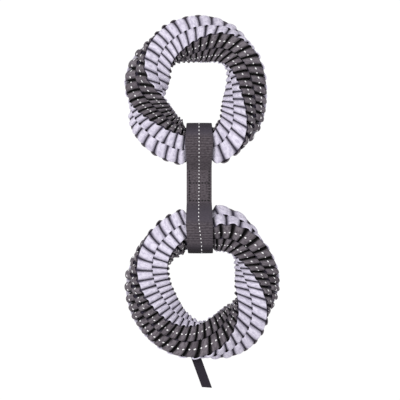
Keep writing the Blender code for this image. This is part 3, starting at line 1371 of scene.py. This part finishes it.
    def build(self, webbing: bpy.types.Material, yarn: bpy.types.Material) -> bpy.types.Object:
        """Model and dress the half.

        Args:
            webbing: The strap's finish.
            yarn: The reflective yarn's finish.

        Returns:
            The webbing's piece.
        """
        piece = add_piece(f"strap_{self.ring.name}_half", self.webbing(), webbing)
        self.join(piece)
        dashes = add_piece(f"strap_{self.ring.name}_reflective_yarn", self.dashes(), yarn)
        self.join(dashes)
        return piece


@dataclass(frozen=True)
class StrapStitching:
    """The rows of stitches that sew the strap's two plies together."""

    rows: tuple[float, ...] = (17.5 * MM, 3.6 * MM, -14.0 * MM)
    row_half: float = 8.8 * MM
    marks: int = 7
    seam_offset: float = 9.9 * MM
    seam_pitch: float = 2.9 * MM
    thread: float = 0.8 * MM
    stitch: float = 1.9 * MM

    def stitches(self) -> bmesh.types.BMesh:
        """Model every stitch, on the top face and on the underside.

        Returns:
            One mesh of all the stitches.
        """
        mesh = bmesh.new()
        seats = []
        for row in self.rows:
            for across in np.linspace(-self.row_half, self.row_half, self.marks):
                seats.append((across, row, 0.0))
        for side in (-1.0, 1.0):
            for along in np.arange(self.rows[-1], self.rows[0], self.seam_pitch):
                seats.append((side * self.seam_offset, along, math.pi / 2))
        shape = Matrix.Diagonal((self.stitch / 2, self.thread, self.thread, 1.0))
        for across, along, turn in seats:
            for height in (0.0, 2.0 * MID_Z):
                place = Matrix.Translation((across, along, height)) @ Matrix.Rotation(turn, 4, "Z")
                bmesh.ops.create_uvsphere(
                    mesh, u_segments=8, v_segments=5, radius=1.0, matrix=place @ shape
                )
        for face in mesh.faces:
            face.smooth = True
        return mesh

    def build(self) -> None:
        """Model and dress the stitches."""
        piece = add_piece("strap_stitches", self.stitches(), STITCH_THREAD.build())
        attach(piece, "strap")


@dataclass(frozen=True)
class FoldedLabel:
    """A bare ribbon folded in half, sewn in between the folds of the lower ring."""

    width: float = 9.4 * MM
    length: float = 32.0 * MM
    ply: float = 0.42 * MM
    slit: float = 0.30 * MM
    lean: float = 20.0 * DEGREE
    root: float = 3.0 * MM
    wave: float = 0.5 * MM
    wave_start: float = 8.0 * MM
    step: float = 0.5 * MM
    bend_steps: int = 8
    bend_end: float = 1.0 * MM

    def ribbon(self) -> bmesh.types.BMesh:
        """Model the folded ribbon.

        Returns:
            Its closed mesh.
        """
        seam = np.array(HINGE_AXES["label_flap"].normalized())
        along = np.array([math.sin(self.lean), -math.cos(self.lean), 0.0])
        slant = float(seam @ along)
        across = seam / math.sqrt(1.0 - slant * slant)
        radius = (self.slit + self.ply) / 2
        runs = np.arange(-self.root, self.length - radius, self.step)
        bend = np.linspace(math.pi / 2, -math.pi / 2, self.bend_steps + 1)[1:-1]
        side = np.full(len(runs), radius)
        out = np.concatenate([runs, runs[-1] + radius * np.cos(bend), runs[::-1]])
        up = np.concatenate([side, radius * np.sin(bend), -side])
        curl = self.wave * np.sin(2.0 * math.pi * out / self.length)
        curl = curl * smooth_step(out / self.wave_start)
        gradient = np.stack([np.gradient(out), np.gradient(up)], axis=1)
        gradient /= np.linalg.norm(gradient, axis=1, keepdims=True)
        outline = TapeSection(self.width, self.ply, face_steps=8, edge_steps=3).outline()
        rise = outline[None, :, 1]
        forward = out[:, None] - gradient[:, 1:2] * rise
        height = up[:, None] + gradient[:, 0:1] * rise + curl[:, None]
        points = np.array(HINGES["label_flap"]) + across * outline[None, :, :1]
        points = points + along * forward[..., None]
        points = points + np.array([0.0, 0.0, 1.0]) * height[..., None]
        places = np.arange(len(out)) * self.step
        return Sweep(points, outline[:, 0] + self.width / 2, places, closed=False).mesh()

    def build(self) -> None:
        """Model and dress the label."""
        piece = add_piece("label_ribbon", self.ribbon(), LABEL_RIBBON.build())
        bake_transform(piece)
        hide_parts("label_tab")


@dataclass(frozen=True)
class Studio:
    """Pale floor, soft light and the camera square above the toy."""

    camera_height: float = 2.4
    camera_reach: float = 20.0
    sensor: float = 36.0
    floor_half: float = 3.0
    floor_drop: float = 0.17
    floor_grey: float = 0.86
    floor_roughness: float = 0.9
    floor_glow: float = 1.04
    sky: float = 0.82
    key_power: float = 13.9
    key_place: tuple[float, float, float] = (-0.45, 0.2, 1.4)
    key_side: float = 0.7
    shadow_share: float = 0.04

    def add_camera(self) -> None:
        """Set the camera where a picture pixel is a millimetre."""
        data = bpy.data.cameras.new("camera")
        camera = bpy.data.objects.new("camera", data)
        across = (PICTURE_SIDE / 2 - PICTURE_ORIGIN[0]) * PIXEL
        along = (PICTURE_ORIGIN[1] - PICTURE_SIDE / 2) * PIXEL
        camera.location = (across, along, self.camera_height)
        data.sensor_width = self.sensor
        data.lens = self.sensor * self.camera_height / (PICTURE_SIDE * PIXEL)
        data.clip_end = self.camera_reach
        bpy.context.scene.collection.objects.link(camera)
        bpy.context.scene.camera = camera

    def add_key(self) -> None:
        """Hang one large soft lamp high up, to the picture's left and a little above."""
        data = bpy.data.lights.new("key", "AREA")
        data.shape = "SQUARE"
        data.size = self.key_side
        data.energy = self.key_power
        lamp = bpy.data.objects.new("key", data)
        lamp.location = self.key_place
        lamp.rotation_euler = (-Vector(self.key_place)).to_track_quat("-Z", "Y").to_euler()
        lamp.visible_camera = False
        bpy.context.scene.collection.objects.link(lamp)

    def white_to_eye(self, graph: Graph) -> bpy.types.NodeSocket:
        """Find the rays that show the backdrop itself.

        Args:
            graph: The floor's or the world's nodes.

        Returns:
            1 for camera, glossy and transmission rays, and 0 for the rest.
        """
        rays = graph.add("LightPath").outputs
        share = rays["Is Camera Ray"]
        for name in ("Is Glossy Ray", "Is Transmission Ray"):
            share = graph.math(MathOperation.MAXIMUM, share, rays[name])
        return share

    def add_floor(self) -> None:
        """Lay a pale floor that looks white, so far down that the rings can swing over it."""
        mesh = bmesh.new()
        place = Matrix.Translation((0.0, 0.0, CAD_BOX[0].z - self.floor_drop))
        bmesh.ops.create_grid(mesh, x_segments=8, y_segments=8, size=self.floor_half, matrix=place)
        material = bpy.data.materials.new("floor")
        graph = Graph(material)
        grey = (*[self.floor_grey] * 3, 1.0)
        graph.dress({"Base Color": grey, "Roughness": self.floor_roughness})
        glow = graph.add("Emission", {"Strength": self.floor_glow})
        share = graph.times(self.white_to_eye(graph), 1.0 - self.shadow_share)
        mixed = graph.add("MixShader", {0: share, 1: graph.shader.outputs[0], 2: glow.outputs[0]})
        graph.feed(graph.nodes["Material Output"].inputs["Surface"], mixed.outputs[0])
        add_piece("floor", mesh, material)

    def add_world(self) -> None:
        """Light the scene from all round, and show white behind the floor."""
        world = bpy.data.worlds.new("studio")
        graph = Graph(world)
        inputs = {"Factor": self.white_to_eye(graph), "A": self.sky, "B": 1.0}
        strength = graph.add("Mix", inputs).outputs["Result"]
        graph.dress({"Color": (1.0, 1.0, 1.0, 1.0), "Strength": strength})
        bpy.context.scene.world = world

    def build(self) -> None:
        """Set up the whole studio."""
        self.add_camera()
        self.add_key()
        self.add_floor()
        self.add_world()
        bpy.context.scene.view_settings.view_transform = "Standard"


UPPER_RING = BraidedRing(
    end=End.UPPER,
    mean_radius=52.3 * MM,
    outline_waves=make_waves(MM, (2, 2.2, 5.5), (3, 1.4, 51.3), (4, 0.5, 39.4)),
    strap_dip=1.7 * MM,
    side_offset=-2.7 * MM,
    eye_radius=20.6 * MM,
    squeeze=0.78,
    face_clock=152.9 * DEGREE,
    turn_waves=make_waves(DEGREE, (1, 16.6, 41.5), (2, 10.6, -38.0), (3, 6.1, 44.1)),
    lay_waves=make_waves(
        DEGREE,
        (0, -2.2, 0.0),
        (1, 3.4, -120.5),
        (2, 2.5, 18.3),
        (3, 1.1, -25.6),
        (4, 1.1, 38.9),
        (5, 1.1, 22.8),
        (6, 0.4, -1.8),
    ),
    slant_waves=make_waves(
        DEGREE,
        (0, -0.3, 0.0),
        (1, 2.4, -143.3),
        (2, 2.7, -23.5),
        (3, 5.1, -27.9),
    ),
    bow_waves=make_waves(DEGREE, (0, -1.0, 0.0), (1, 2.4, 99.2), (3, 1.1, -44.9)),
    outer_waves=make_waves(
        MM,
        (0, 0.8, 0.0),
        (1, 0.8, 176.2),
        (2, 0.6, 1.5),
        (3, 0.9, 11.6),
        (4, 0.8, -32.6),
    ),
    inner_waves=make_waves(MM, (0, -0.4, 0.0), (1, 0.9, -37.3), (2, 0.5, 3.6), (4, 0.6, 14.4)),
    seed=3,
)
LOWER_RING = BraidedRing(
    end=End.LOWER,
    mean_radius=55.4 * MM,
    outline_waves=make_waves(MM, (2, 0.7, 6.0), (3, 0.9, 51.4), (4, 0.8, 26.6)),
    strap_dip=2.2 * MM,
    side_offset=3.5 * MM,
    eye_radius=22.1 * MM,
    squeeze=0.84,
    face_clock=118.6 * DEGREE,
    turn_waves=make_waves(DEGREE, (1, 23.4, 200.2), (2, 3.7, -15.7)),
    lay_waves=make_waves(
        DEGREE,
        (0, -3.6, 0.0),
        (1, 6.9, 75.7),
        (2, 4.1, 35.3),
        (3, 0.7, 29.9),
        (4, 0.5, 41.1),
        (5, 0.2, -10.3),
        (6, 0.2, 13.9),
    ),
    slant_waves=make_waves(DEGREE, (0, 2.4, 0.0), (1, 10.0, -40.5), (2, 4.9, -13.5), (3, 5.8, 7.4)),
    bow_waves=make_waves(DEGREE, (0, 0.3, 0.0), (1, 1.8, -100.1), (2, 1.3, -41.7), (3, 0.9, -40.8)),
    outer_waves=make_waves(
        MM,
        (0, 1.2, 0.0),
        (1, 0.4, -167.2),
        (2, 0.6, -0.3),
        (3, 1.1, 13.4),
        (4, 0.4, -11.2),
    ),
    inner_waves=make_waves(MM, (0, 0.4, 0.0), (1, 1.1, -117.4), (2, 0.3, -64.6), (3, 0.4, 1.0)),
    seed=8,
)
UPPER_STRAP = StrapHalf(
    ring=UPPER_RING,
    sway=make_profile(MM, (-20.0, -0.15), (70.0, -0.15)),
    yarn_shift=make_profile(MM, (0.0, -0.1), (60.0, -0.1)),
    widths=make_profile(MM, (0.0, 25.1), (22.0, 25.1), (42.0, 28.2), (64.0, 25.2)),
    ribs=make_profile(
        1.0, (0.0, 0.15), (20.0, 0.15), (23.0, 1.0), (49.0, 1.0), (52.0, 0.1), (64.0, 0.1)
    ),
    slope_shade=make_profile(1.0, (0.0, 0.1), (48.0, 0.1), (54.0, 0.9), (64.0, 0.9)),
    steep_shade=0.6,
)
LOWER_STRAP = StrapHalf(
    ring=LOWER_RING,
    sway=make_profile(MM, (0.0, -0.15), (13.0, -0.15), (38.0, 0.15), (67.0, 1.2)),
    yarn_shift=make_profile(MM, (0.0, -0.1), (33.0, -0.7), (56.0, 1.3)),
    widths=make_profile(MM, (0.0, 25.1), (15.0, 25.1), (38.0, 26.8), (66.0, 25.2)),
    ribs=make_profile(
        1.0, (0.0, 0.15), (34.0, 0.1), (38.0, 1.0), (53.0, 1.0), (56.0, 0.2), (68.0, 0.2)
    ),
    slope_shade=make_profile(
        1.0,
        (0.0, 0.1),
        (13.0, 0.1),
        (22.0, 0.8),
        (33.0, 0.8),
        (38.0, 0.2),
        (56.0, 0.3),
        (66.0, 1.0),
    ),
    steep_shade=0.95,
)


def main() -> None:
    """Build every piece of the toy and its studio."""
    logging.basicConfig(level=logging.INFO)
    Studio().build()
    for ring in (UPPER_RING, LOWER_RING):
        ring.build()
    strap_webbing = STRAP_WEBBING.build()
    strap_yarn = REFLECTIVE_YARN.build()
    upper_half = UPPER_STRAP.build(strap_webbing, strap_yarn)
    lower_half = LOWER_STRAP.build(strap_webbing, strap_yarn)
    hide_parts("strap_sewn_middle", "strap_upper_eye")
    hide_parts("strap_lower_eye")
    StrapStitching().build()
    FoldedLabel().build()


if __name__ == "__main__":
    main()
